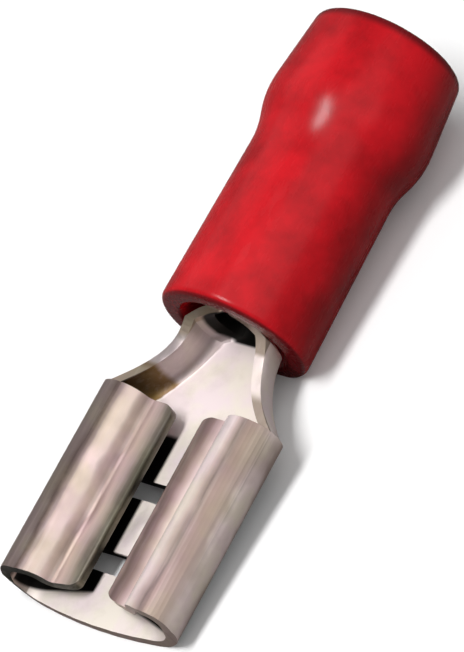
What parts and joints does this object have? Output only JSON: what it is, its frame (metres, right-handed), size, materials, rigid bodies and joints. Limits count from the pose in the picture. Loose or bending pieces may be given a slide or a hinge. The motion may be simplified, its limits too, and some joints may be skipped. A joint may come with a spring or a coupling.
{
  "type": "flat crimp terminal",
  "caption": "Female flat crimp terminal: rolled wings over a slotted floor grip a blade tab, and a crimp barrel sits in a flared red insulating sleeve.",
  "frame": {"origin": "on the crimp barrel's axis, at the barrel's wire mouth", "axes": "+X along the barrel, out towards the wire; the tab enters the receptacle from -X; +Z from the receptacle's floor towards its rolled wings; +Y across the receptacle"},
  "size_m": [0.0223, 0.0074, 0.006],
  "materials": {
    "tinned_metal": "tin plated, satin with fine drawing marks",
    "sleeve_plastic": "moulded, semi-gloss"
  },
  "bodies": {
    "root": {"receptacle_terminal": "tinned_metal", "insulating_sleeve": "sleeve_plastic"}
  },
  "joints": []
}
